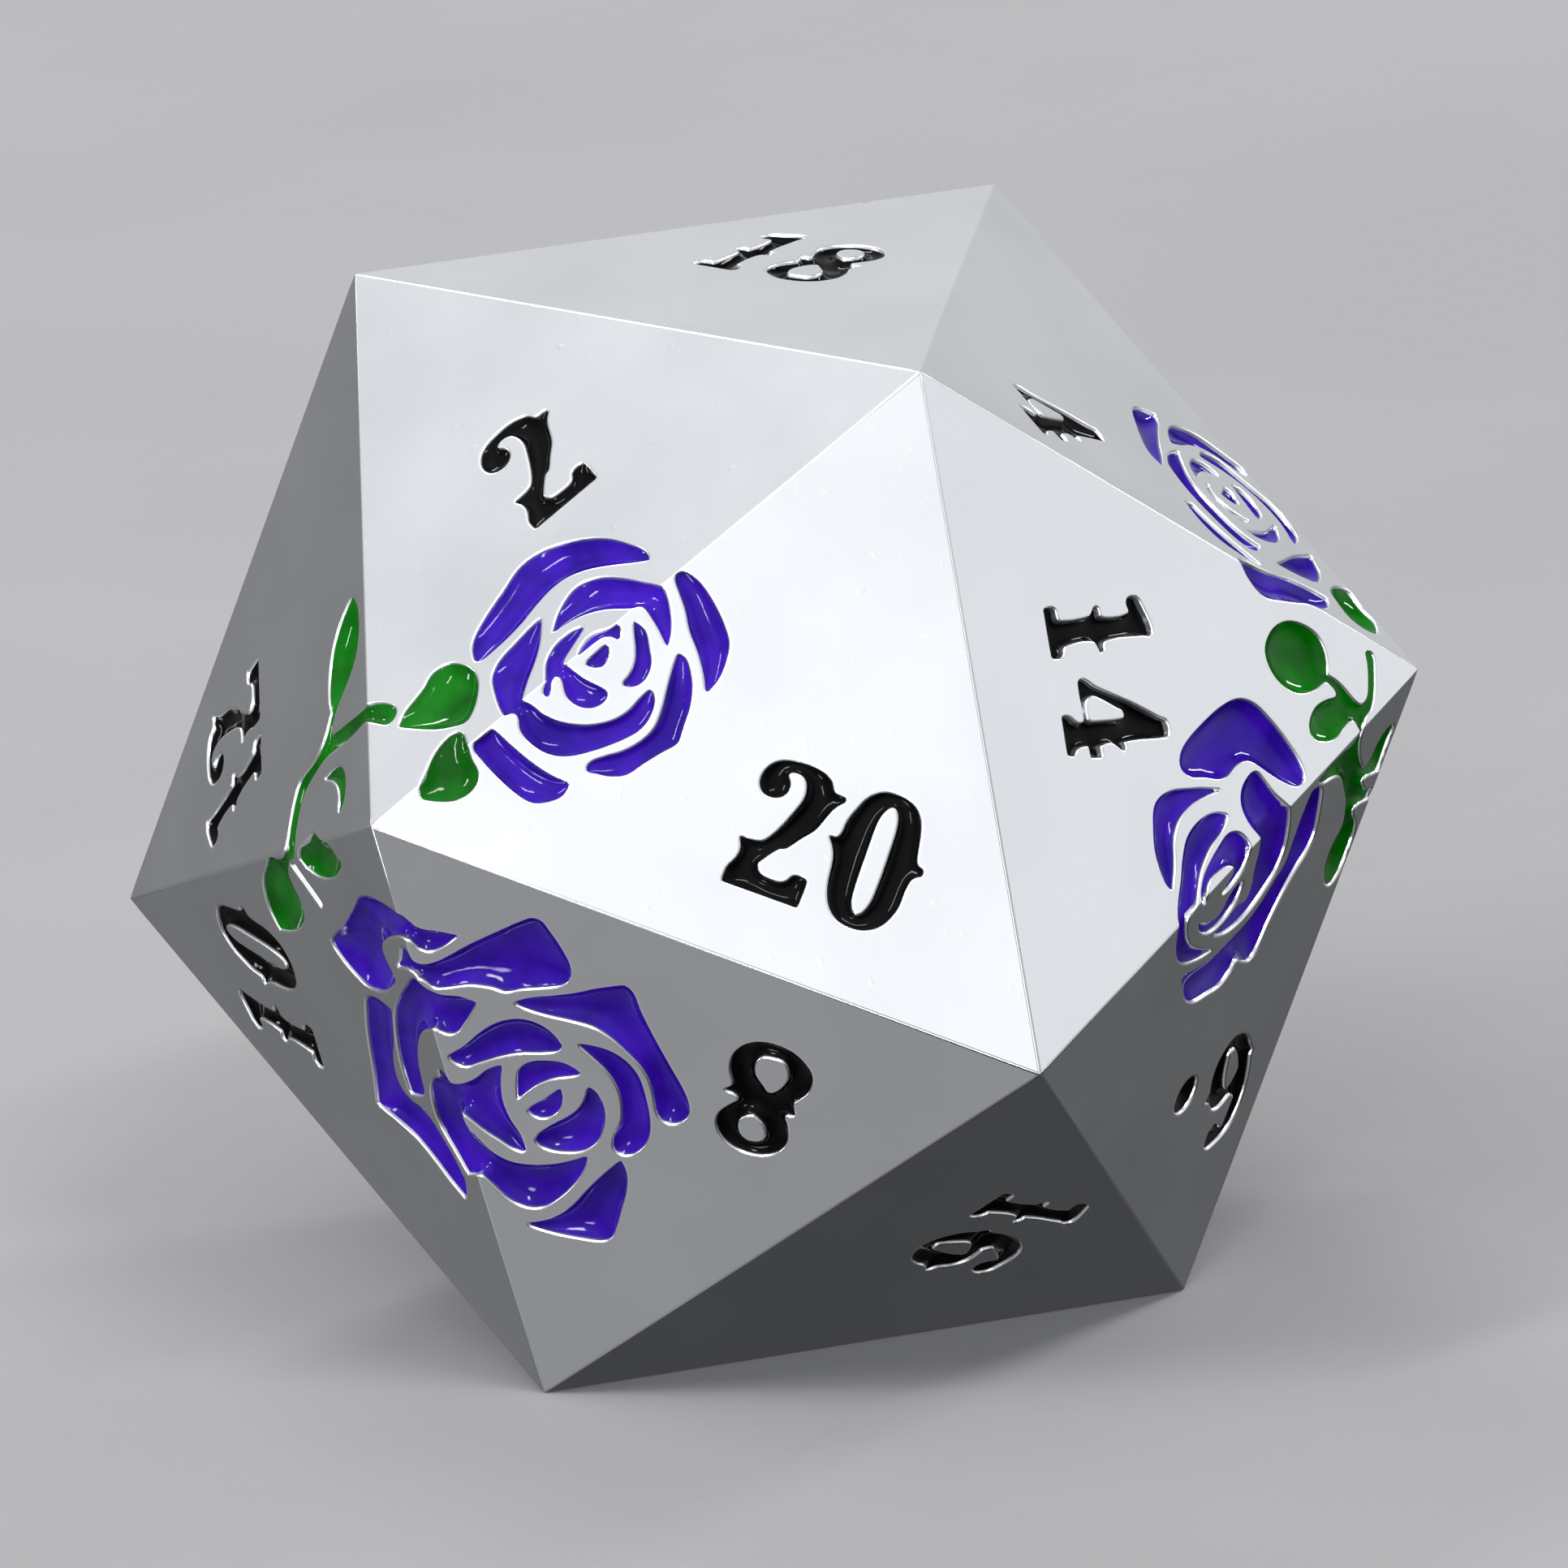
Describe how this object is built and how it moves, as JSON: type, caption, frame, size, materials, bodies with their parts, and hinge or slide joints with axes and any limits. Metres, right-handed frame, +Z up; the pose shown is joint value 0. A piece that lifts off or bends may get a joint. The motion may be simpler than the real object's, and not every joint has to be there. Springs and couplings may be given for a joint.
{
  "type": "twenty-sided die",
  "caption": "Solid cast metal twenty-sided die with recessed, enamel-filled numerals, rose blossoms and leafy vines on its triangular faces",
  "frame": {"origin": "centre of the bounding box at the height of the resting face, which is the middle of face 3", "axes": "+Z up through face 18; +X along the front edge of the resting face; +Y away from the front, along the longest extent"},
  "size_m": [0.0374, 0.0432, 0.035],
  "materials": {
    "metal": "bright silver plating over cast zinc alloy, satin with a very fine grain, edges polished",
    "black_enamel": "glossy poured black enamel, slightly dished",
    "purple_enamel": "glossy poured violet enamel, slightly dished",
    "green_enamel": "glossy poured green enamel, slightly dished"
  },
  "bodies": {
    "root": {"bud_back": "green_enamel", "bud_front": "green_enamel", "die_body": "metal", "digit_10_a": "black_enamel", "digit_10_b": "black_enamel", "digit_11_a": "black_enamel", "digit_11_b": "black_enamel", "digit_12_a": "black_enamel", "digit_12_b": "black_enamel", "digit_13_a": "black_enamel", "digit_13_b": "black_enamel", "digit_14_a": "black_enamel", "digit_14_b": "black_enamel", "digit_15_a": "black_enamel", "digit_15_b": "black_enamel", "digit_16_a": "black_enamel", "digit_16_b": "black_enamel", "digit_17_a": "black_enamel", "digit_17_b": "black_enamel", "digit_18_a": "black_enamel", "digit_18_b": "black_enamel", "digit_19_a": "black_enamel", "digit_19_b": "black_enamel", "digit_1_a": "black_enamel", "digit_20_a": "black_enamel", "digit_20_b": "black_enamel", "digit_2_a": "black_enamel", "digit_3_a": "black_enamel", "digit_4_a": "black_enamel", "digit_5_a": "black_enamel", "digit_6_a": "black_enamel", "digit_7_a": "black_enamel", "digit_8_a": "black_enamel", "digit_9_a": "black_enamel", "dot_6": "black_enamel", "dot_9": "black_enamel", "leaf_1_back": "green_enamel", "leaf_1_front": "green_enamel", "leaf_2_back": "green_enamel", "leaf_2_front": "green_enamel", "leaf_3_back": "green_enamel", "leaf_3_front": "green_enamel", "leaf_4_back": "green_enamel", "leaf_4_front": "green_enamel", "rose_a_back": "purple_enamel", "rose_a_front": "purple_enamel", "rose_b_back": "purple_enamel", "rose_b_front": "purple_enamel", "rose_c_back": "purple_enamel", "rose_c_front": "purple_enamel", "rose_d_back": "purple_enamel", "rose_d_front": "purple_enamel", "stem_back": "green_enamel", "stem_front": "green_enamel", "vine_back": "green_enamel", "vine_front": "green_enamel"}
  },
  "joints": []
}
